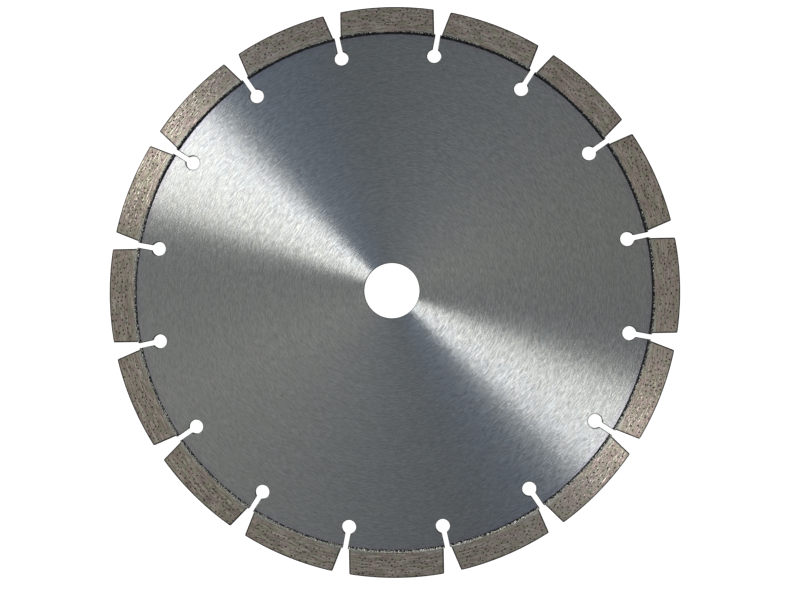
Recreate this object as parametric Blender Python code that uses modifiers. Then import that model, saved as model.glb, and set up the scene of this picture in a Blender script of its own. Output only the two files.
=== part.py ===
"""Segmented diamond blade, 230 mm: a steel core with keyhole slots and sixteen laser-welded segments.

Each segment is a diamond-bearing layer on a diamond-free foot, and a weld bead joins each foot to the core.
The blade lies flat: +Z is its axis, +X runs through the middle of segment 1, and the origin is the centre
of the bore at mid thickness. Blender 4.5, metres.
"""

import math

import bmesh
import bpy

MM = 0.001

# Driving dimensions
BLADE_RADIUS = 115.0 * MM
SEGMENT_COUNT = 16
SEGMENT_LENGTH = 38.0 * MM
SEGMENT_HEIGHT = 10.0 * MM
SEGMENT_THICKNESS = 2.6 * MM
FOOT_HEIGHT = 1.5 * MM
WELD_WIDTH = 1.2 * MM
WELD_SUNK = 0.05 * MM  # the bead stands this far below each face of the core
CORE_THICKNESS = 1.8 * MM
BORE_RADIUS = 22.23 / 2 * MM
BORE_CHAMFER = 0.25 * MM
SLOT_WIDTH = 2.0 * MM
KEYHOLE_RADIUS = 2.8 * MM
KEYHOLE_CENTRE = 96.4 * MM  # distance of each keyhole from the blade's axis
KEYHOLE_FILLET = 0.5 * MM
EDGE_BREAK = 0.2 * MM
JOINT_GAP = 0.3 * MM  # clearance kept between two solids that are welded or sintered together

# Worked out from them. Each joint's clearance lies half on either side of its nominal radius.
PITCH = math.tau / SEGMENT_COUNT
STAND_OFF = JOINT_GAP / 2
SINTER_JOINT_RADIUS = BLADE_RADIUS - SEGMENT_HEIGHT + FOOT_HEIGHT
FOOT_JOINT_RADIUS = BLADE_RADIUS - SEGMENT_HEIGHT
CORE_JOINT_RADIUS = FOOT_JOINT_RADIUS - WELD_WIDTH
CORE_RADIUS = CORE_JOINT_RADIUS - STAND_OFF

# Facets
CORE_STEPS = 9 * SEGMENT_COUNT
ARC_STEPS = 8
KEYHOLE_STEPS = 22
FILLET_STEPS = 3
WELD_MERGE = 0.001 * MM


def clear_scene():
    for old in list(bpy.data.objects):
        bpy.data.objects.remove(old)


def new_collection(name):
    made = bpy.data.collections.new(name)
    bpy.context.scene.collection.children.link(made)
    return made


def metal(name, colour, roughness, metallic=1.0):
    made = bpy.data.materials.new(name)
    made.use_nodes = True
    made.diffuse_color = (*colour, 1.0)
    shader = made.node_tree.nodes["Principled BSDF"]
    shader.inputs["Base Color"].default_value = (*colour, 1.0)
    shader.inputs["Roughness"].default_value = roughness
    shader.inputs["Metallic"].default_value = metallic
    return made


def arc(radius, start, end, steps, centre=(0.0, 0.0)):
    """Points of an arc, both ends included."""
    angles = [start + (end - start) * i / steps for i in range(steps + 1)]
    return [(centre[0] + radius * math.cos(a), centre[1] + radius * math.sin(a)) for a in angles]


def plate(name, outline, thickness):
    """A flat mesh plate of that outline, centred on z = 0: a filled 2D curve made solid and welded."""
    curve = bpy.data.curves.new(name + "_outline", "CURVE")
    curve.dimensions = "2D"
    curve.fill_mode = "BOTH"
    curve.extrude = thickness / 2
    spline = curve.splines.new("POLY")
    spline.points.add(len(outline) - 1)
    for point, (x, y) in zip(spline.points, outline):
        point.co = (x, y, 0.0, 1.0)
    spline.use_cyclic_u = True
    drawn = bpy.data.objects.new(name + "_outline", curve)
    bpy.context.scene.collection.objects.link(drawn)
    bpy.context.view_layer.update()
    evaluated = drawn.evaluated_get(bpy.context.evaluated_depsgraph_get())
    mesh = bpy.data.meshes.new_from_object(evaluated)
    mesh.name = name
    bpy.data.objects.remove(drawn)
    shape = bmesh.new()
    shape.from_mesh(mesh)
    bmesh.ops.remove_doubles(shape, verts=shape.verts, dist=WELD_MERGE)
    bmesh.ops.recalc_face_normals(shape, faces=shape.faces)
    shape.to_mesh(mesh)
    shape.free()
    return mesh


def sector(inner_radius, outer_radius, half_angle):
    """Outline of a sector about +X, where half_angle(radius) is its half width in radians at that radius."""
    outer = half_angle(outer_radius)
    inner = half_angle(inner_radius)
    return arc(outer_radius, -outer, outer, ARC_STEPS) + arc(inner_radius, inner, -inner, ARC_STEPS)


def segment_half_angle(radius):
    """A segment's two ends are parallel, so it spans a smaller angle further out."""
    return math.asin(SEGMENT_LENGTH / 2 / radius)


def land_half_angle(radius):
    """The core's land between two slots, whose walls are parallel to their own centrelines."""
    return PITCH / 2 - math.asin(SLOT_WIDTH / 2 / radius)


def break_edges(mesh, inner_radius):
    """Breaks a segment's sharp edges, but not those of the face that joins the foot, at inner_radius."""
    shape = bmesh.new()
    shape.from_mesh(mesh)
    reach = inner_radius + EDGE_BREAK / 2
    chosen = []
    for edge in shape.edges:
        sharp = edge.calc_face_angle(0.0) > math.radians(30)
        on_joint = all(vert.co.xy.length < reach for vert in edge.verts)
        if sharp and not on_joint:
            chosen.append(edge)
    bmesh.ops.bevel(
        shape, geom=chosen, offset=EDGE_BREAK, offset_type="OFFSET", segments=1, affect="EDGES", profile=0.5
    )
    shape.to_mesh(mesh)
    shape.free()


def smooth(mesh):
    mesh.shade_smooth()
    mesh.set_sharp_from_angle(angle=math.radians(30))


def place(name, mesh, material, collection, turn=0.0):
    made = bpy.data.objects.new(name, mesh)
    if not mesh.materials:
        mesh.materials.append(material)
    made.rotation_euler.z = turn
    collection.objects.link(made)
    return made


def core_blank(collection, steel):
    """The turned blank: a flat ring with a chamfered bore. Its profile is a closed loop for the Screw."""
    half = CORE_THICKNESS / 2
    loop = [
        (CORE_RADIUS, half),
        (CORE_RADIUS, -half),
        (BORE_RADIUS + BORE_CHAMFER, -half),
        (BORE_RADIUS, -half + BORE_CHAMFER),
        (BORE_RADIUS, half - BORE_CHAMFER),
        (BORE_RADIUS + BORE_CHAMFER, half),
    ]
    mesh = bpy.data.meshes.new("core")
    edges = [(i, (i + 1) % len(loop)) for i in range(len(loop))]
    mesh.from_pydata([(x, 0.0, z) for x, z in loop], edges, [])
    blank = place("core", mesh, steel, collection)
    turned = blank.modifiers.new("turn", "SCREW")
    turned.axis = "Z"
    turned.angle = math.tau
    turned.steps = CORE_STEPS
    turned.render_steps = CORE_STEPS
    turned.use_merge_vertices = True
    turned.merge_threshold = WELD_MERGE
    turned.use_smooth_shade = True
    return blank


def keyhole_outline():
    """A round hole with a straight slot leading out past the core's rim, and a fillet on each side of the neck."""
    half_slot = SLOT_WIDTH / 2
    reach = KEYHOLE_RADIUS + KEYHOLE_FILLET
    rise = half_slot + KEYHOLE_FILLET
    along = math.sqrt(reach**2 - rise**2)
    contact = math.atan2(rise, along)
    mouth = BLADE_RADIUS - KEYHOLE_CENTRE
    hole = arc(KEYHOLE_RADIUS, contact, math.tau - contact, KEYHOLE_STEPS)
    upper = arc(KEYHOLE_FILLET, -math.pi / 2, contact - math.pi, FILLET_STEPS, (along, rise))
    lower = [(x, -y) for x, y in reversed(upper)]
    points = [(mouth, half_slot)] + upper + hole[1:-1] + lower + [(mouth, -half_slot)]
    return [(KEYHOLE_CENTRE + x, y) for x, y in points]


def cut_keyholes(core, cutters):
    mesh = plate("keyhole_cutter", keyhole_outline(), 3 * CORE_THICKNESS)
    for i in range(SEGMENT_COUNT):
        cutter = bpy.data.objects.new(f"keyhole_cutter_{i + 1:02d}", mesh)
        cutter.rotation_euler.z = (i + 0.5) * PITCH
        cutter.hide_render = True
        cutter.display_type = "WIRE"
        cutters.objects.link(cutter)
    cut = core.modifiers.new("keyholes", "BOOLEAN")
    cut.operation = "DIFFERENCE"
    cut.solver = "EXACT"
    cut.operand_type = "COLLECTION"
    cut.collection = cutters


def make_core(blade, cutters):
    """The steel core, cut by sixteen keyhole slots and shaded smooth on its round walls."""
    steel = metal("core_steel", (0.52, 0.54, 0.55), 0.32)
    core = core_blank(blade, steel)
    cut_keyholes(core, cutters)
    bpy.context.view_layer.update()
    evaluated = core.evaluated_get(bpy.context.evaluated_depsgraph_get())
    finished = bpy.data.meshes.new_from_object(evaluated)
    core.modifiers.clear()
    core.data = finished
    smooth(finished)


def make_weld_beads(blade):
    """The laser welds that join the feet to the core, each as long as the land that it closes."""
    outline = sector(CORE_JOINT_RADIUS + STAND_OFF, FOOT_JOINT_RADIUS - STAND_OFF, land_half_angle)
    mesh = plate("weld_bead", outline, CORE_THICKNESS - 2 * WELD_SUNK)
    smooth(mesh)
    oxide = metal("weld_oxide", (0.035, 0.036, 0.04), 0.6)
    for i in range(SEGMENT_COUNT):
        place(f"weld_bead_{i + 1:02d}", mesh, oxide, blade, i * PITCH)


def make_segment_feet(blade):
    """The diamond-free layer that each segment is welded by."""
    outline = sector(FOOT_JOINT_RADIUS + STAND_OFF, SINTER_JOINT_RADIUS - STAND_OFF, segment_half_angle)
    mesh = plate("segment_foot", outline, SEGMENT_THICKNESS)
    smooth(mesh)
    foot_metal = metal("foot_metal", (0.34, 0.34, 0.31), 0.45)
    for i in range(SEGMENT_COUNT):
        place(f"segment_foot_{i + 1:02d}", mesh, foot_metal, blade, i * PITCH)


def make_diamond_layers(blade):
    """The cutting layer: a sintered bond full of diamond grit, on top of the foot."""
    inner_radius = SINTER_JOINT_RADIUS + STAND_OFF
    outline = sector(inner_radius, BLADE_RADIUS, segment_half_angle)
    mesh = plate("diamond_layer", outline, SEGMENT_THICKNESS)
    break_edges(mesh, inner_radius)
    smooth(mesh)
    bond = metal("diamond_bond", (0.36, 0.32, 0.28), 0.5)
    for i in range(SEGMENT_COUNT):
        place(f"diamond_layer_{i + 1:02d}", mesh, bond, blade, i * PITCH)


def main():
    clear_scene()
    blade = new_collection("diamond_blade")
    cutters = new_collection("cutters")
    cutters.hide_render = True
    make_core(blade, cutters)
    make_weld_beads(blade)
    make_segment_feet(blade)
    make_diamond_layers(blade)


main()
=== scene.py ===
"""Looks of the segmented diamond blade: its ground core, weld beads, segment feet and gritty diamond layers.

Every piece stands for one CAD node, in the CAD frame: metres, +Z along the blade's axis. Colours are linear.
"""

import math
import random
from itertools import permutations, product

import bmesh
import bpy
from mathutils import Matrix, Quaternion, Vector, geometry, noise


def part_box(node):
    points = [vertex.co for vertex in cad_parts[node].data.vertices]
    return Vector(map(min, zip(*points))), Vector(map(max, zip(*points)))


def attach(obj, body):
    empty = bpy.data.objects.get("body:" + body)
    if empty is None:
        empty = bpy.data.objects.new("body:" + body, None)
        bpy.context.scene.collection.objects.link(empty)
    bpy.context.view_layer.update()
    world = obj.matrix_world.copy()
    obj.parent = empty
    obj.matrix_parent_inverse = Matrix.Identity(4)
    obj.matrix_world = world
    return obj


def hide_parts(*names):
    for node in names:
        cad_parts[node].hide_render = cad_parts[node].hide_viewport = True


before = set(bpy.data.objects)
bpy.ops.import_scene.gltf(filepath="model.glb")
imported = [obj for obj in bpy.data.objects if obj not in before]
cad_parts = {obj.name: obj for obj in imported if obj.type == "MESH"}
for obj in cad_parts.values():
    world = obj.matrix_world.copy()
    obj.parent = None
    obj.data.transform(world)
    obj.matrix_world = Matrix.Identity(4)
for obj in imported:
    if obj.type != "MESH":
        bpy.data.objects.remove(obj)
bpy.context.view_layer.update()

MM = 0.001
UP = Vector((0, 0, 1))
TOUCH = 0.01 * MM  # two places closer than this count as the same

# The clearance that the CAD keeps between joined solids. It is closed here, at the middle of the gap.
JOINT_GAP = 0.3 * MM

# Read from the frame
SEGMENT_COUNT = sum(name.startswith("diamond_layer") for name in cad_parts)
PITCH = math.tau / SEGMENT_COUNT
CORE_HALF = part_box("core")[1].z
SEGMENT_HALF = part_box("diamond_layer_01")[1].z
SEGMENT_LENGTH = 2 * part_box("diamond_layer_01")[1].y
BLADE_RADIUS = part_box("diamond_layer_01")[1].x
CORE_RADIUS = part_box("core")[1].x + JOINT_GAP / 2
WELD_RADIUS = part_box("weld_bead_01")[1].x + JOINT_GAP / 2  # where the weld meets the foot
SINTER_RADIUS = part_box("segment_foot_01")[1].x + JOINT_GAP / 2
BORE_RADIUS = min(vertex.co.xy.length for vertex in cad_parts["core"].data.vertices)

# Core. The slots, keyholes and chamfer repeat the CAD's own sizes.
SLOT_WIDTH = 2.0 * MM
KEYHOLE_RADIUS = 2.8 * MM
KEYHOLE_CENTRE = 96.4 * MM
KEYHOLE_FILLET = 0.5 * MM
BORE_CHAMFER = 0.25 * MM
CORE_EDGE_BREAK = 0.3 * MM

# Weld bead
BEAD_STEP = 0.11 * MM
BEAD_SUNK = 0.07 * MM
BEAD_STEP_START = 0.42  # shares of the bead's width between which its skin climbs to the foot
BEAD_STEP_END = 0.84
BEAD_WANDER = 0.75 * MM  # how ragged the climb's edge is
BEAD_OVER_CORE = 0.16 * MM  # how far the bead reaches over the core's edge
BEAD_IN_FOOT = 0.06 * MM
BEAD_CROWN = 0.12 * MM  # how far its inner half rises
BEAD_UNEVEN = 0.07 * MM
RIPPLE_PITCH = 0.42 * MM
RIPPLE_HEIGHT = 0.014 * MM
RIPPLE_SWEEP = 0.35 * MM  # how far each ripple's ends trail its middle
RIPPLE_DRIFT = 0.1 * MM

# Segments
BOND_SUNK = 0.03 * MM  # the bond has worn this far below the tips of the grit
FOOT_SUNK = 0.01 * MM  # the foot lies this far below the bond
FOOT_CHAMFER = 0.08 * MM
SEGMENT_EDGE_BREAK = 0.36 * MM
EDGE_SHADE = 0.75  # how far the dark outline of a segment reaches in, in mm
PAINTED_SHADE_SIDE = (0.35, 0.94, 0.0)  # the side of the blade where painted shade makes the welds and their soot darkest
PIT_MARGIN = 0.8 * MM  # from the middle of a pit to the layer's inner and outer arcs
PIT_END_MARGIN = 1.1 * MM
SIDE_PITS = 62
SIDE_PIT_SPACING = 1.3 * MM
SIDE_GRIT = 40
SIDE_GRIT_SPACING = 0.62 * MM
RIM_CELL_GRIT = 2
END_GRIT = 7
WALL_GRIT_SPACING = 0.75 * MM
WALL_MARGIN = 0.36 * MM
LEAST_RIM_CELL = 1.0 * MM * MM  # smaller flat faces of the rim and the ends stay plain
LEAST_END = 5.0 * MM * MM

# Which of a piece's materials a face has
GROUND, GRITTY, ROUGH_SHADED = 0, 1, 2
CORE_SKIN, CORE_CUT = 0, 1


# ---------------------------------------------------------------- outlines and solids


def arc(radius, start, end, steps, centre=(0.0, 0.0)):
    """Points of an arc, both ends included."""
    angles = [start + (end - start) * i / steps for i in range(steps + 1)]
    return [(centre[0] + radius * math.cos(a), centre[1] + radius * math.sin(a)) for a in angles]


def turned(points, angle):
    c, s = math.cos(angle), math.sin(angle)
    return [(x * c - y * s, x * s + y * c) for x, y in points]


def segment_half_angle(radius):
    """A segment's two ends are parallel, so it spans a smaller angle further out."""
    return math.asin(SEGMENT_LENGTH / 2 / radius)


def land_half_angle(radius):
    """The core's land between two slots, whose walls are parallel to their own centrelines."""
    return PITCH / 2 - math.asin(SLOT_WIDTH / 2 / radius)


def sector(inner_radius, outer_radius, steps):
    """Outline of a segment's layer between two radii, about +X."""
    outer = segment_half_angle(outer_radius)
    inner = segment_half_angle(inner_radius)
    return arc(outer_radius, -outer, outer, steps) + arc(inner_radius, inner, -inner, steps)


def keyhole():
    """One slot's outline about +X, from its clockwise wall at the rim, round the hole, to its other wall."""
    half_slot = SLOT_WIDTH / 2
    rise = half_slot + KEYHOLE_FILLET
    along = math.sqrt((KEYHOLE_RADIUS + KEYHOLE_FILLET) ** 2 - rise**2)
    contact = math.atan2(rise, along)
    upper = arc(KEYHOLE_FILLET, -math.pi / 2, contact - math.pi, 5, (along, rise))
    hole = arc(KEYHOLE_RADIUS, contact, math.tau - contact, 44)
    lower = [(x, -y) for x, y in reversed(upper)]
    path = upper + hole[1:-1] + lower
    return [(KEYHOLE_CENTRE + x, y) for x, y in reversed(path)]


def core_outline():
    half_land = land_half_angle(CORE_RADIUS)
    points = []
    for i in range(SEGMENT_COUNT):
        points += turned(arc(CORE_RADIUS, -half_land, half_land, 30), i * PITCH)
        points += turned(keyhole(), (i + 0.5) * PITCH)
    return points


def plate(loops, half):
    """A flat solid between z = -half and +half. The first loop is its outline, and the others are holes."""
    shape = bmesh.new()
    for loop in loops:
        verts = [shape.verts.new((x, y, half)) for x, y in loop]
        for a, b in zip(verts, verts[1:] + verts[:1]):
            shape.edges.new((a, b))
    bmesh.ops.triangle_fill(shape, edges=shape.edges[:], use_beauty=True)
    pulled = bmesh.ops.extrude_face_region(shape, geom=shape.faces[:])
    lower = [item for item in pulled["geom"] if isinstance(item, bmesh.types.BMVert)]
    bmesh.ops.translate(shape, verts=lower, vec=(0, 0, -2 * half))
    bmesh.ops.recalc_face_normals(shape, faces=shape.faces[:])
    return shape


def break_edges(shape, width, steps, wanted):
    """Bevels the sharp edges whose middle passes the test."""
    chosen = []
    for edge in shape.edges:
        middle = (edge.verts[0].co + edge.verts[1].co) / 2
        if edge.calc_face_angle(0.0) > math.radians(40) and wanted(middle):
            chosen.append(edge)
    bmesh.ops.bevel(shape, geom=chosen, offset=width, segments=steps, profile=0.5, affect="EDGES")
    shape.normal_update()


def finish_piece(name, shape, materials, turn, node):
    """Makes the object, turns it into place about the axis, parents it to the root body, and hides the CAD
    node it stands for.
    """
    shape.transform(Matrix.Rotation(turn, 4, "Z"))
    shape.normal_update()
    mesh = bpy.data.meshes.new(name)
    shape.to_mesh(mesh)
    shape.free()
    for material in materials:
        mesh.materials.append(material)
    mesh.shade_smooth()
    mesh.set_sharp_from_angle(angle=math.radians(24))
    for face in mesh.polygons:
        face.use_smooth = abs(face.normal.z) < 0.9999
    piece = bpy.data.objects.new(name, mesh)
    bpy.context.scene.collection.objects.link(piece)
    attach(piece, "root")
    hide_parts(node)


# ---------------------------------------------------------------- pits and grit


def random_spot(taken, spacing, draw):
    """A point from draw() at least that far from the ones taken, or None where there is no room left."""
    for _ in range(30):
        spot = draw()
        if all((spot - other).length > spacing for other in taken):
            taken.append(spot)
            return spot
    return None


def pit_faces(shape, faces, pits, rng):
    """Sinks pits into a flat stretch of faces. A pit is (centre, direction, length, width, depth)."""
    normal = faces[0].normal.copy()
    origin = faces[0].verts[0].co.copy()
    side = normal.orthogonal().normalized()
    other = normal.cross(side)
    chosen = set(faces)
    borders = [edge for face in faces for edge in face.edges]
    rim = [edge for edge in borders if sum(face in chosen for face in edge.link_faces) == 1]
    verts = list({vert: None for edge in rim for vert in edge.verts})
    index = {vert: i for i, vert in enumerate(verts)}
    edges = [(index[edge.verts[0]], index[edge.verts[1]]) for edge in rim]
    owner = [None] * len(verts)
    floors = []
    for number, (centre, direction, length, width, depth) in enumerate(pits):
        across = normal.cross(direction)
        sides = rng.randint(7, 9)
        first = len(verts)
        ring = []
        for i in range(sides):
            angle = math.tau * (i + rng.uniform(-0.2, 0.2)) / sides
            reach = rng.uniform(0.85, 1.1) / 2
            offset = direction * (length * reach * math.cos(angle))
            ring.append(offset + across * (width * reach * math.sin(angle)))
        verts += [shape.verts.new(centre + offset) for offset in ring]
        floors.append([shape.verts.new(centre + offset * 0.6 - normal * depth) for offset in ring])
        owner += [number] * sides
        edges += [(first + i, first + (i + 1) % sides) for i in range(sides)]
    flat = [Vector(((v.co - origin).dot(side), (v.co - origin).dot(other))) / MM for v in verts]
    _, _, triangles, sources, _, _ = geometry.delaunay_2d_cdt(flat, edges, [], 1, 1e-7, True)
    bmesh.ops.delete(shape, geom=faces, context="FACES")
    for triangle in triangles:
        corners = [sources[i][0] for i in triangle]
        owners = {owner[i] for i in corners}
        if len(owners) > 1 or None in owners:
            shape.faces.new([verts[i] for i in corners])
    # The pits' walls and floors below take the dark rough bond: partly its own dirt, partly painted shade in
    # the pits.
    start = len(index)
    for floor in floors:
        ring = verts[start : start + len(floor)]
        start += len(floor)
        for i in range(len(floor)):
            j = (i + 1) % len(floor)
            shape.faces.new((ring[i], ring[j], floor[j], floor[i])).material_index = ROUGH_SHADED
        shape.faces.new(floor).material_index = ROUGH_SHADED


def crystal_template():
    """A blocky diamond crystal, one across, as (corners, faces): a truncated octahedron."""
    shape = bmesh.new()
    for order in permutations(range(3)):
        for p, q in product((-1, 1), (-1, 1)):
            values = (0, p, 2 * q)
            shape.verts.new(Vector([values[i] for i in order]) / (2 * math.sqrt(5)))
    bmesh.ops.convex_hull(shape, input=shape.verts[:])
    bmesh.ops.dissolve_limit(shape, angle_limit=0.01, verts=shape.verts[:], edges=shape.edges[:])
    shape.verts.index_update()
    corners = [vert.co.copy() for vert in shape.verts]
    faces = [[vert.index for vert in face.verts] for face in shape.faces]
    shape.free()
    return corners, faces


CRYSTAL_CORNERS, CRYSTAL_FACES = crystal_template()


def add_crystal(shape, centre, normal, size, proud, rng):
    """Sets a crystal into the surface at centre, with its highest corner that far proud of it."""
    spin = Quaternion([rng.gauss(0, 1) for _ in range(4)]).normalized()
    squash = rng.uniform(0.75, 1.0)
    corners = []
    for corner in CRYSTAL_CORNERS:
        corners.append(spin @ Vector((corner.x, corner.y, corner.z * squash)) * size)
    lift = proud - max(corner.dot(normal) for corner in corners)
    made = [shape.verts.new(centre + corner + normal * lift) for corner in corners]
    for face in CRYSTAL_FACES:
        shape.faces.new([made[i] for i in face]).material_index = GRITTY


def grit_side(shape, normal, rng):
    """Pits and grit on one side of a diamond layer, sparse near its edges."""
    half = segment_half_angle(BLADE_RADIUS) - PIT_END_MARGIN / BLADE_RADIUS

    def draw():
        radius = rng.uniform(SINTER_RADIUS + PIT_MARGIN, BLADE_RADIUS - PIT_MARGIN)
        angle = rng.uniform(-half, half)
        height = SEGMENT_HALF - BOND_SUNK
        return Vector((radius * math.cos(angle), radius * math.sin(angle), normal.z * height))

    taken = []
    pits = []
    crystals = []
    for _ in range(SIDE_PITS):
        spot = random_spot(taken, SIDE_PIT_SPACING, draw)
        if spot is None:
            continue
        along = UP.cross(spot).normalized()
        width = rng.uniform(0.44, 0.68) * MM
        length = width * rng.uniform(1.1, 1.55)
        pits.append((spot, along, length, width, rng.uniform(0.07, 0.13) * MM))
        if rng.random() < 0.6:
            crystals.append((spot, width * rng.uniform(0.75, 0.9), rng.uniform(-0.02, 0.6) * BOND_SUNK))
    for _ in range(SIDE_GRIT):
        spot = random_spot(taken, SIDE_GRIT_SPACING, draw)
        if spot is not None:
            crystals.append((spot, rng.uniform(0.26, 0.42) * MM, rng.uniform(0.3, 0.95) * BOND_SUNK))
    ground = [face for face in shape.faces if face.material_index == GROUND]
    faces = [face for face in ground if face.normal.dot(normal) > 0.999]
    pit_faces(shape, faces, pits, rng)
    for spot, size, proud in crystals:
        add_crystal(shape, spot, normal, size, proud, rng)


def grit_face(shape, face, count, rng):
    """Pits and grit on one flat cell of the rim or on an end of a diamond layer."""
    normal = face.normal.copy()
    corners = [vert.co for vert in face.verts]
    centre = face.calc_center_median()
    across = normal.cross(UP).normalized()
    half_width = max(abs((corner - centre).dot(across)) for corner in corners)
    half_height = max(abs((corner - centre).z) for corner in corners)

    def draw():
        u = rng.uniform(-1, 1) * max(half_width - WALL_MARGIN, 0)
        v = rng.uniform(-1, 1) * max(half_height - WALL_MARGIN, 0)
        return centre + across * u + UP * v

    taken = []
    pits = []
    crystals = []
    for _ in range(count):
        spot = random_spot(taken, WALL_GRIT_SPACING, draw)
        if spot is None:
            continue
        width = rng.uniform(0.36, 0.5) * MM
        size = width * rng.uniform(0.75, 0.95)
        crystals.append((spot, size, rng.uniform(0.2, 0.95) * BOND_SUNK))
        if rng.random() < 0.7:
            length = width * rng.uniform(1.0, 1.25)
            pits.append((spot, across, length, width, rng.uniform(0.06, 0.12) * MM))
    if pits:
        pit_faces(shape, [face], pits, rng)
    for spot, size, proud in crystals:
        add_crystal(shape, spot, normal, size, proud, rng)


# ---------------------------------------------------------------- node trees


class Nodes:
    """Short calls that build one node tree. An input takes a number, a colour or a socket."""

    def __init__(self, tree):
        self.tree = tree

    def add(self, kind, inputs=None, **settings):
        node = self.tree.nodes.new("ShaderNode" + kind)
        for key, value in settings.items():
            setattr(node, key, value)
        for key, value in (inputs or {}).items():
            self.set(node.inputs[key], value)
        return node

    def set(self, socket, value):
        if isinstance(value, bpy.types.NodeSocket):
            self.tree.links.new(value, socket)
        else:
            socket.default_value = value

    def math(self, operation, a, b=0.0):
        return self.add("Math", {0: a, 1: b}, operation=operation).outputs[0]

    def vector(self, operation, a, b=(0.0, 0.0, 0.0)):
        return self.add("VectorMath", {0: a, 1: b}, operation=operation).outputs["Vector"]

    def dot(self, a, b):
        return self.add("VectorMath", {0: a, 1: b}, operation="DOT_PRODUCT").outputs["Value"]

    def length(self, a):
        return self.add("VectorMath", {0: a}, operation="LENGTH").outputs["Value"]

    def scaled(self, a, factor):
        return self.add("VectorMath", {0: a, "Scale": factor}, operation="SCALE").outputs["Vector"]

    def noise(self, vector, detail=2.0, roughness=0.5, scale=1.0):
        inputs = {"Vector": vector, "Scale": scale, "Detail": detail, "Roughness": roughness}
        return self.add("TexNoise", inputs).outputs["Fac"]

    def ranged(self, value, low, high, to_low=0.0, to_high=1.0):
        """value's stretch from low to high, eased and held at both ends."""
        inputs = {"Value": value, "From Min": low, "From Max": high, "To Min": to_low, "To Max": to_high}
        return self.add("MapRange", inputs, interpolation_type="SMOOTHSTEP").outputs["Result"]

    def mix(self, factor, a, b, blend="MIX"):
        node = self.add("Mix", data_type="RGBA", blend_type=blend)
        for socket, value in ((node.inputs[0], factor), (node.inputs[6], a), (node.inputs[7], b)):
            self.set(socket, value)
        return node.outputs[2]

    def bump(self, height, distance, strength=1.0):
        inputs = {"Height": height, "Distance": distance, "Strength": strength}
        return self.add("Bump", inputs).outputs["Normal"]


def new_metal(name, metallic=1.0, anisotropy=0.0):
    """(material, its Nodes, its shader)."""
    material = bpy.data.materials.new(name)
    material.use_nodes = True
    shader = material.node_tree.nodes["Principled BSDF"]
    shader.inputs["Metallic"].default_value = metallic
    shader.inputs["Anisotropic"].default_value = anisotropy
    return material, Nodes(material.node_tree), shader


def turned_place(nodes):
    """(distance from the blade's axis in mm, direction out from the axis, height in mm) as sockets."""
    place = nodes.add("NewGeometry").outputs["Position"]
    flat = nodes.vector("MULTIPLY", place, (1.0, 1.0, 0.0))
    radius = nodes.math("DIVIDE", nodes.length(flat), MM)
    outward = nodes.vector("NORMALIZE", flat)
    height = nodes.math("DIVIDE", nodes.add("SeparateXYZ", {0: place}).outputs["Z"], MM)
    return radius, outward, height


def ring_noise(nodes, polar, width, length, detail=2.0, roughness=0.5):
    """Noise drawn out along circles about the axis, as streaks of about that width and length in mm."""
    radius, outward, height = polar
    across = nodes.math("DIVIDE", nodes.math("ADD", radius, height), width)
    lifted = nodes.add("CombineXYZ", {"Z": across}).outputs[0]
    flat = nodes.scaled(outward, nodes.math("DIVIDE", radius, length))
    return nodes.noise(nodes.vector("ADD", flat, lifted), detail, roughness)


def core_face_steel():
    """The ground face of the core: fine circular marks, a faint mottle, a heat tint beside the weld, and
    painted shade that darkens it towards the rim.
    """
    material, nodes, shader = new_metal("core_ground_face", anisotropy=1.0)
    polar = turned_place(nodes)
    fine = ring_noise(nodes, polar, 0.25, 2.3, 0.0)
    grain = ring_noise(nodes, polar, 0.26, 0.55, 0.0)
    grooves = ring_noise(nodes, polar, 0.3, 30.0, 1.0)
    broad = ring_noise(nodes, polar, 1.0, 14.0, 2.0)
    hue = ring_noise(nodes, polar, 3.5, 6.0, 1.0)
    marks = nodes.math("ADD", nodes.math("MULTIPLY", fine, 0.48), nodes.math("MULTIPLY", grain, 0.35))
    marks = nodes.math("ADD", marks, nodes.math("MULTIPLY", grooves, 0.17))
    light = nodes.mix(nodes.ranged(marks, 0.3, 0.7), (0.40, 0.411, 0.413, 1), (0.635, 0.645, 0.642, 1))
    light = nodes.mix(nodes.ranged(broad, 0.3, 0.7, 0.0, 0.15), light, (0.45, 0.46, 0.462, 1))
    warm = nodes.mix(nodes.ranged(hue, 0.3, 0.7), (0.99, 1.0, 1.01, 1), (1.01, 1.0, 0.985, 1))
    light = nodes.mix(1.0, light, warm, "MULTIPLY")
    # Painted shade: the face is darkened towards the rim, standing in for the light falling off outwards.
    rim_shade = nodes.ranged(polar[0], BORE_RADIUS / MM, CORE_RADIUS / MM)
    light = nodes.mix(rim_shade, light, (0.87, 0.87, 0.87, 1), "MULTIPLY")
    heat = nodes.ranged(polar[0], CORE_RADIUS / MM - 2.6, CORE_RADIUS / MM - 0.2, 0.0, 0.5)
    tinted = nodes.mix(heat, light, (0.94, 0.84, 1.0, 1), "MULTIPLY")
    nodes.set(shader.inputs["Base Color"], tinted)
    nodes.set(shader.inputs["Roughness"], nodes.ranged(marks, 0.3, 0.7, 0.23, 0.27))
    nodes.set(shader.inputs["Tangent"], polar[1])
    nodes.set(shader.inputs["Normal"], nodes.bump(marks, 0.02 * MM, 1.0))
    return material


def cut_steel():
    """The laser-cut walls of the core: darker, with fine striations through the thickness."""
    material, nodes, shader = new_metal("core_cut_wall")
    place = nodes.add("NewGeometry").outputs["Position"]
    stretched = nodes.vector("MULTIPLY", place, (5000.0, 5000.0, 500.0))
    lines = nodes.noise(stretched, 2.0)
    colour = nodes.mix(lines, (0.06, 0.062, 0.066, 1), (0.2, 0.2, 0.2, 1))
    nodes.set(shader.inputs["Base Color"], colour)
    nodes.set(shader.inputs["Roughness"], nodes.ranged(lines, 0.2, 0.8, 0.38, 0.55))
    nodes.set(shader.inputs["Normal"], nodes.bump(lines, 0.02 * MM, 0.7))
    return material


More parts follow.
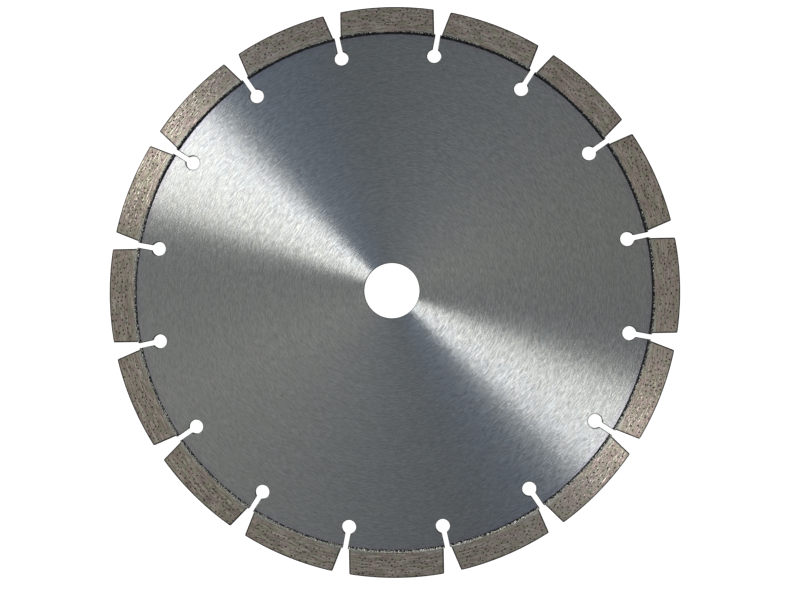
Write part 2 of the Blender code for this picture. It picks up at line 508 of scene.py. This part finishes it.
def soot_and_shade_share(nodes, polar):
    """0 to 1 round the blade: how far the weld's soot spreads, which differs from weld to weld, plus painted
    shade that spreads it further towards one side of the blade.
    """
    drift = nodes.noise(polar[1], 0.0, 0.5, 3.0)
    # The dot with one fixed direction is painted shade. The noise is the soot's real spread from weld to
    # weld.
    share = nodes.math("ADD", nodes.dot(polar[1], PAINTED_SHADE_SIDE), drift)
    return nodes.ranged(share, -0.55, 1.35)


def weld_oxide():
    """The weld bead: dark oxide with patches of bare, bright metal on its outer ridge. On one side of the
    blade, painted shade spreads the oxide further over the ridge.
    """
    material, nodes, shader = new_metal("weld_oxide")
    polar = turned_place(nodes)
    patches = nodes.ranged(ring_noise(nodes, polar, 0.5, 0.7, 1.0), 0.35, 0.65, 0.0, 0.9)
    grain = ring_noise(nodes, polar, 0.12, 0.17, 2.0)
    # Painted shade: on one side of the blade the dark oxide covers more of the ridge.
    oxide_and_shade_cover = nodes.math("MULTIPLY", soot_and_shade_share(nodes, polar), 0.8)
    wandering = nodes.math("ADD", polar[0], nodes.math("SUBTRACT", patches, oxide_and_shade_cover))
    bare = nodes.ranged(wandering, WELD_RADIUS / MM - 0.35, WELD_RADIUS / MM - 0.2)
    dark = nodes.mix(nodes.ranged(grain, 0.3, 0.7), (0.016, 0.017, 0.02, 1), (0.05, 0.05, 0.053, 1))
    nodes.set(shader.inputs["Base Color"], nodes.mix(bare, dark, (0.5, 0.49, 0.45, 1)))
    gleaming = ring_noise(nodes, polar, 0.5, 1.0, 4.0)
    nodes.set(shader.inputs["Roughness"], nodes.ranged(gleaming, 0.5, 0.62, 0.6, 0.28))
    nodes.set(shader.inputs["Normal"], nodes.bump(grain, 0.015 * MM, 0.6))
    return material


def painted_edge_shade(nodes, polar):
    """1 along a segment's ends and rim, where its colour is darkened as painted shade, and 0 elsewhere."""
    radius, outward, _ = polar
    parts = nodes.add("SeparateXYZ", {0: outward}).outputs
    turn = nodes.math("ARCTAN2", parts["Y"], parts["X"])
    wrapped = nodes.math("PINGPONG", nodes.math("ADD", turn, math.tau), PITCH / 2)
    along = nodes.math("MULTIPLY", nodes.math("SINE", wrapped), radius)
    half_length = SEGMENT_LENGTH / 2 / MM
    end = nodes.ranged(along, half_length - EDGE_SHADE, half_length - EDGE_SHADE / 2)
    rim = nodes.ranged(radius, BLADE_RADIUS / MM - EDGE_SHADE, BLADE_RADIUS / MM - EDGE_SHADE / 2)
    return nodes.math("MAXIMUM", end, rim)


def foot_metal():
    """The ground foot: grey, free of grit, and sooty where it meets the weld. Painted shade spreads that
    soot further on one side of the blade and darkens the foot's ends.
    """
    material, nodes, shader = new_metal("foot_metal", metallic=0.7, anisotropy=0.9)
    polar = turned_place(nodes)
    fine = ring_noise(nodes, polar, 0.42, 2.6, 3.0, 0.6)
    broad = ring_noise(nodes, polar, 0.9, 4.0, 2.0)
    ragged = nodes.ranged(ring_noise(nodes, polar, 0.45, 0.6, 1.0), 0.35, 0.65, 0.0, 0.5)
    colour = nodes.mix(nodes.ranged(fine, 0.3, 0.7), (0.30, 0.29, 0.255, 1), (0.54, 0.525, 0.47, 1))
    colour = nodes.mix(nodes.ranged(broad, 0.35, 0.65, 0.0, 0.6), colour, (0.39, 0.39, 0.335, 1))
    # Soot beside the weld, spread further on one side of the blade as painted shade.
    edge = nodes.ranged(polar[0], WELD_RADIUS / MM, WELD_RADIUS / MM + 0.45, 0.4, 0.0)
    edge = nodes.math("MULTIPLY", edge, soot_and_shade_share(nodes, polar))
    soot_and_shade = nodes.ranged(nodes.math("ADD", edge, ragged), 0.5, 0.6)
    # Painted shade: a dark outline along the foot's ends.
    outline = painted_edge_shade(nodes, polar)
    colour = nodes.mix(outline, colour, (0.05, 0.05, 0.045, 1))
    nodes.set(shader.inputs["Base Color"], nodes.mix(soot_and_shade, colour, (0.02, 0.02, 0.022, 1)))
    nodes.set(shader.inputs["Roughness"], nodes.ranged(soot_and_shade, 0.0, 1.0, 0.42, 0.6))
    nodes.set(shader.inputs["Tangent"], polar[1])
    nodes.set(shader.inputs["Normal"], nodes.bump(fine, 0.012 * MM, 1.0))
    return material


def bond_metal():
    """The bond of the diamond layer: brownish sintered metal with grinding streaks and pores, and painted
    shade along its ends and rim.
    """
    material, nodes, shader = new_metal("diamond_bond", metallic=0.6, anisotropy=0.9)
    polar = turned_place(nodes)
    fine = ring_noise(nodes, polar, 0.45, 5.0, 0.0)
    broad = ring_noise(nodes, polar, 1.0, 7.0, 1.0)
    hue = ring_noise(nodes, polar, 2.0, 4.0, 1.0)
    pores = ring_noise(nodes, polar, 0.5, 1.0, 1.0)
    colour = nodes.mix(nodes.ranged(hue, 0.35, 0.65), (0.37, 0.35, 0.26, 1), (0.44, 0.34, 0.315, 1))
    colour = nodes.mix(nodes.ranged(fine, 0.5, 0.72, 0.0, 0.9), colour, (0.55, 0.50, 0.435, 1))
    colour = nodes.mix(nodes.ranged(fine, 0.28, 0.5, 0.6, 0.0), colour, (0.23, 0.19, 0.165, 1))
    colour = nodes.mix(nodes.ranged(broad, 0.45, 0.75, 0.0, 0.2), colour, (0.25, 0.215, 0.185, 1))
    speck = nodes.ranged(pores, 0.61, 0.68, 0.0, 0.8)
    colour = nodes.mix(speck, colour, (0.07, 0.06, 0.05, 1))
    # Painted shade: a dark outline along the layer's ends and rim.
    colour = nodes.mix(painted_edge_shade(nodes, polar), colour, (0.05, 0.045, 0.04, 1))
    nodes.set(shader.inputs["Base Color"], colour)
    nodes.set(shader.inputs["Roughness"], nodes.ranged(fine, 0.3, 0.7, 0.44, 0.2))
    nodes.set(shader.inputs["Tangent"], polar[1])
    relief = nodes.math("ADD", fine, ring_noise(nodes, polar, 0.5, 1.8, 0.0))
    nodes.set(shader.inputs["Normal"], nodes.bump(relief, 0.085 * MM, 1.0))
    return material


def rough_shaded_bond():
    """The bond where nothing has ground it, dark in its pores and along its broken edges: partly the bond's
    own dirt, partly painted shade in the pores and on the edges.
    """
    material, nodes, shader = new_metal("rough_shaded_bond")
    place = nodes.add("NewGeometry").outputs["Position"]
    grain = nodes.noise(place, 2.0, 0.5, 4000.0)
    colour = nodes.mix(nodes.ranged(grain, 0.3, 0.7), (0.025, 0.022, 0.018, 1), (0.09, 0.076, 0.064, 1))
    nodes.set(shader.inputs["Base Color"], colour)
    shader.inputs["Roughness"].default_value = 0.6
    return material


def diamond_grit():
    """Industrial diamond seen as grit: dark, glossy, faintly olive."""
    material, nodes, shader = new_metal("diamond_grit", metallic=0.0)
    place = nodes.add("NewGeometry").outputs["Position"]
    tint = nodes.noise(place, 1.0, 0.5, 900.0)
    colour = nodes.mix(nodes.ranged(tint, 0.4, 0.6), (0.02, 0.018, 0.012, 1), (0.075, 0.068, 0.04, 1))
    nodes.set(shader.inputs["Base Color"], colour)
    shader.inputs["Roughness"].default_value = 0.22
    shader.inputs["IOR"].default_value = 2.0
    return material


# ---------------------------------------------------------------- the pieces


def make_core():
    bore = arc(BORE_RADIUS, 0.0, math.tau, 180)[:-1]
    shape = plate([core_outline(), bore], CORE_HALF)
    between = (BORE_RADIUS + KEYHOLE_CENTRE) / 2
    break_edges(shape, BORE_CHAMFER, 2, lambda co: co.xy.length < between)
    rim = CORE_RADIUS - TOUCH
    break_edges(shape, CORE_EDGE_BREAK, 2, lambda co: between < co.xy.length < rim)
    for face in shape.faces:
        face.material_index = CORE_SKIN if abs(face.normal.z) > 0.99 else CORE_CUT
    finish_piece("ground_core", shape, [CORE_FACE, CUT_WALL], 0.0, "core")


def bead_profile(along, radius_share):
    """Height of the weld's skin over the core's face, at 0 (the core) to 1 (the foot) across the bead."""
    crown = BEAD_CROWN * math.sin(math.pi * min(radius_share / BEAD_STEP_START, 1.0))
    share = (radius_share - BEAD_STEP_START) / (BEAD_STEP_END - BEAD_STEP_START)
    foot_top = SEGMENT_HALF - BOND_SUNK - 2 * FOOT_SUNK
    climb = (foot_top - CORE_HALF + BEAD_SUNK) * min(max(share, 0.0), 1.0)
    chevron = along + RIPPLE_SWEEP * abs(radius_share - 0.45)
    ripple = RIPPLE_HEIGHT * math.sin(math.tau * chevron / RIPPLE_PITCH) * max(1.0 - radius_share, 0.0)
    return crown + climb + ripple - BEAD_SUNK


def make_weld_bead(number):
    """A rippled bead on both sides of the blade, as one closed tube from slot to slot."""
    middle = (CORE_RADIUS + WELD_RADIUS) / 2
    half = land_half_angle(middle)
    steps = round(2 * half * middle / BEAD_STEP)
    flat_shares = [BEAD_STEP_START * i / 4 for i in range(4)]
    climb_shares = [BEAD_STEP_START + (BEAD_STEP_END - BEAD_STEP_START) * i / 3 for i in range(4)]
    shares = flat_shares + climb_shares + [1.0]
    bulge = {share: math.sin(math.pi * share) for share in shares}
    shape = bmesh.new()
    rings = []
    for step in range(steps + 1):
        angle = -half + 2 * half * step / steps
        along = angle * middle
        section = []
        for side in (1, -1):
            points = []
            coarse = Vector((along / MM * 1.5, 0.3, 11.0 * number * side))
            wander = (noise.noise(coarse) + 0.5 * noise.noise(coarse * 2.7)) * BEAD_WANDER
            for share in shares:
                radius = CORE_RADIUS - BEAD_OVER_CORE
                radius += share * (WELD_RADIUS + BEAD_IN_FOOT - CORE_RADIUS + BEAD_OVER_CORE)
                radius += wander * bulge[share]
                seed = Vector((along / MM * 1.3, share * 2.0, 7.0 * number * side))
                drift = RIPPLE_DRIFT * noise.noise(seed * 0.7)
                height = CORE_HALF + bead_profile(along + drift, share)
                height += noise.noise(seed) * BEAD_UNEVEN * bulge[share]
                points.append((radius, side * min(height, SEGMENT_HALF - BOND_SUNK)))
            section += points if side == 1 else points[::-1]
        ring = [shape.verts.new((r * math.cos(angle), r * math.sin(angle), z)) for r, z in section]
        if rings:
            before = rings[-1]
            for i in range(len(ring)):
                j = (i + 1) % len(ring)
                shape.faces.new((before[i], before[j], ring[j], ring[i]))
        rings.append(ring)
    shape.faces.new(rings[0])
    shape.faces.new(rings[-1])
    bmesh.ops.recalc_face_normals(shape, faces=shape.faces[:])
    turn = (number - 1) * PITCH
    node = f"weld_bead_{number:02d}"
    finish_piece(f"rippled_weld_{number:02d}", shape, [WELD_OXIDE], turn, node)


def make_foot(number):
    """The foot, with a chamfer towards the weld and plain edge breaks at its two ends."""
    shape = plate([sector(WELD_RADIUS, SINTER_RADIUS, 40)], SEGMENT_HALF - BOND_SUNK - FOOT_SUNK)
    inner = WELD_RADIUS + TOUCH
    break_edges(shape, FOOT_CHAMFER, 3, lambda co: co.xy.length < inner)
    outer = SINTER_RADIUS - TOUCH
    end = SEGMENT_LENGTH / 2 - TOUCH

    def at_an_end(co):
        return abs(co.y) > end and inner < co.xy.length < outer

    break_edges(shape, SEGMENT_EDGE_BREAK, 2, at_an_end)
    turn = (number - 1) * PITCH
    node = f"segment_foot_{number:02d}"
    finish_piece(f"ground_foot_{number:02d}", shape, [FOOT], turn, node)


def make_diamond_layer(number):
    """The cutting layer: bond with pits and crystals on both sides, round the rim and on both ends."""
    rng = random.Random(100 + number)
    shape = plate([sector(SINTER_RADIUS, BLADE_RADIUS - BOND_SUNK, 24)], SEGMENT_HALF - BOND_SUNK)
    joint = SINTER_RADIUS + TOUCH
    break_edges(shape, SEGMENT_EDGE_BREAK, 2, lambda co: co.xy.length > joint)
    # Edge breaks take the dark rough bond: partly its own dirt, partly painted shade along the edges.
    for face in shape.faces:
        if 0.01 < abs(face.normal.z) < 0.99:
            face.material_index = ROUGH_SHADED
    for normal in (UP, -UP):
        grit_side(shape, normal, rng)
    ground = [face for face in shape.faces if face.material_index == GROUND]
    walls = [face for face in ground if abs(face.normal.z) < 0.01]
    for face in walls:
        centre = face.calc_center_median()
        outward = face.normal.dot(centre.normalized())
        if outward > 0.95 and face.calc_area() > LEAST_RIM_CELL:
            grit_face(shape, face, RIM_CELL_GRIT, rng)
        elif abs(face.normal.y) > 0.95 and face.calc_area() > LEAST_END:
            grit_face(shape, face, END_GRIT, rng)
    turn = (number - 1) * PITCH
    node = f"diamond_layer_{number:02d}"
    materials = [BOND, GRIT, ROUGH_SHADED_BOND]
    finish_piece(f"gritty_layer_{number:02d}", shape, materials, turn, node)


# ---------------------------------------------------------------- studio


def make_floor():
    """A pale table under the blade, bright enough to read as plain white from above."""
    mesh = bpy.data.meshes.new("table")
    shape = bmesh.new()
    bmesh.ops.create_grid(shape, x_segments=1, y_segments=1, size=TABLE_REACH)
    shape.to_mesh(mesh)
    shape.free()
    table = bpy.data.objects.new("table", mesh)
    table.location.z = -SEGMENT_HALF - TABLE_DROP
    bpy.context.scene.collection.objects.link(table)
    material, nodes, shader = new_metal("table_white", metallic=0.0)
    shader.inputs["Base Color"].default_value = (0.4, 0.4, 0.4, 1)
    shader.inputs["Roughness"].default_value = 0.8
    seen = nodes.add("LightPath").outputs["Is Camera Ray"]
    shader.inputs["Emission Color"].default_value = (1, 1, 1, 1)
    nodes.set(shader.inputs["Emission Strength"], nodes.math("MULTIPLY", seen, TABLE_GLOW))
    mesh.materials.append(material)


TABLE_REACH = 3.0
TABLE_DROP = 0.02 * MM  # clearance under the blade
TABLE_GLOW = 0.96  # what the camera alone sees of it, so that it reads as plain white

KEY_AZIMUTH = math.radians(146.8)
KEY_HALF_WIDTH = math.radians(11.3)
KEY_EDGE = math.radians(1.2)
KEY_RADIANCE = 5.2
KEY_SPAN = (24.0, 80.0)  # degrees down from overhead, on the key's own side
FAR_SPAN = (22.5, 52.0)  # the same on the opposite side, where the softbox reaches past overhead
KEY_COOL = (1.06, 1.06, 1.05, 1)  # the softbox's clockwise edge, as seen from above
KEY_WARM = (0.865, 0.85, 0.785, 1)

# How bright the dim studio is in each direction round the blade, as (azimuth in degrees, colour). Each was
# chosen by comparing the tone of the rendered core in that direction with the photo's.
STUDIO_BACK = (0.40, 0.41, 0.39)
SURROUNDINGS = (
    (-180, STUDIO_BACK),
    (-165, (0.49, 0.485, 0.45)),
    (-145, (0.40, 0.405, 0.38)),
    (-115, (0.27, 0.285, 0.29)),
    (-75, (0.145, 0.155, 0.17)),
    (-53, (0.165, 0.205, 0.26)),
    (-20, (0.19, 0.21, 0.225)),
    (20, (0.285, 0.28, 0.26)),
    (70, (0.21, 0.23, 0.25)),
    (105, (0.165, 0.18, 0.19)),
    (127, (0.23, 0.29, 0.38)),
    (150, (0.28, 0.285, 0.285)),
    (180, STUDIO_BACK),
)
HORIZON_BOOST = 1.8  # how many times brighter the studio is close to the horizon and below it
BACKDROP = (0.9, 0.9, 0.9, 1)  # what the camera sees behind the table


def band(nodes, value, span):
    """1 where value, the sine of an angle, lies inside a span of degrees, with eased ends."""
    low, high = (math.sin(math.radians(angle)) for angle in span)
    rises = nodes.ranged(value, low - 0.06, low + 0.06)
    return nodes.math("MULTIPLY", rises, nodes.ranged(value, high - 0.08, high + 0.08, 1.0, 0.0))


def softbox_glow(nodes, direction):
    """A long softbox over the blade. Seen from the blade it is as wide, in angle, as a bright fan."""
    aim = Vector((math.cos(KEY_AZIMUTH), math.sin(KEY_AZIMUTH), 0.0))
    flat = nodes.vector("NORMALIZE", nodes.vector("MULTIPLY", direction, (1.0, 1.0, 0.0)))
    facing = nodes.dot(flat, aim)
    edges = (math.cos(KEY_HALF_WIDTH + KEY_EDGE), math.cos(KEY_HALF_WIDTH - KEY_EDGE))
    inside = nodes.ranged(nodes.math("ABSOLUTE", facing), *edges)
    along = nodes.dot(direction, aim)
    near = band(nodes, along, KEY_SPAN)
    far = band(nodes, nodes.math("MULTIPLY", along, -1.0), FAR_SPAN)
    shining = nodes.math("MULTIPLY", inside, nodes.math("ADD", near, far))
    light = nodes.math("MULTIPLY", shining, KEY_RADIANCE)
    across = nodes.math("MULTIPLY", nodes.dot(flat, UP.cross(aim)), nodes.math("SIGN", facing))
    reach = math.sin(KEY_HALF_WIDTH)
    tint = nodes.mix(nodes.ranged(across, -reach, reach), KEY_COOL, KEY_WARM)
    return nodes.scaled(tint, light)


def make_world():
    """A softbox in a dim studio that differs a little in each direction, behind a pale backdrop."""
    world = bpy.data.worlds.new("studio")
    bpy.context.scene.world = world
    world.use_nodes = True
    nodes = Nodes(world.node_tree)
    background = world.node_tree.nodes["Background"]
    direction = nodes.add("TexCoord").outputs["Generated"]
    parts = nodes.add("SeparateXYZ", {0: direction}).outputs
    turn = nodes.math("ARCTAN2", parts["Y"], parts["X"])
    share = nodes.math("ADD", nodes.math("DIVIDE", turn, math.tau), 0.5)
    ramp = nodes.add("ValToRGB", {"Fac": share})
    stops = ramp.color_ramp.elements
    while len(stops) > 1:
        stops.remove(stops[-1])
    for i, (azimuth, colour) in enumerate(SURROUNDINGS):
        stop = stops[0] if i == 0 else stops.new((azimuth + 180) / 360)
        stop.position = (azimuth + 180) / 360
        stop.color = (*colour, 1)
    overhead = nodes.ranged(parts["Z"], 0.1, 0.45, HORIZON_BOOST, 1.0)
    dim = nodes.scaled(ramp.outputs["Color"], overhead)
    lit = nodes.vector("ADD", dim, softbox_glow(nodes, direction))
    seen = nodes.add("LightPath").outputs["Is Camera Ray"]
    nodes.set(background.inputs["Color"], nodes.mix(seen, lit, BACKDROP))


def make_camera():
    """Nearly straight above the blade, a little towards its lower right."""
    data = bpy.data.cameras.new("camera")
    data.lens = 50
    data.sensor_width = 36
    camera = bpy.data.objects.new("camera", data)
    camera.location = (22.7 * MM, -16.0 * MM, 447.2 * MM)
    camera.rotation_euler = [math.radians(a) for a in (1.51, 2.52, -1.01)]
    bpy.context.scene.collection.objects.link(camera)
    bpy.context.scene.camera = camera


CORE_FACE = core_face_steel()
CUT_WALL = cut_steel()
WELD_OXIDE = weld_oxide()
FOOT = foot_metal()
BOND = bond_metal()
GRIT = diamond_grit()
ROUGH_SHADED_BOND = rough_shaded_bond()

make_core()
for segment in range(1, SEGMENT_COUNT + 1):
    make_weld_bead(segment)
    make_foot(segment)
    make_diamond_layer(segment)
make_floor()
make_world()
make_camera()
bpy.context.scene.view_settings.view_transform = "Standard"
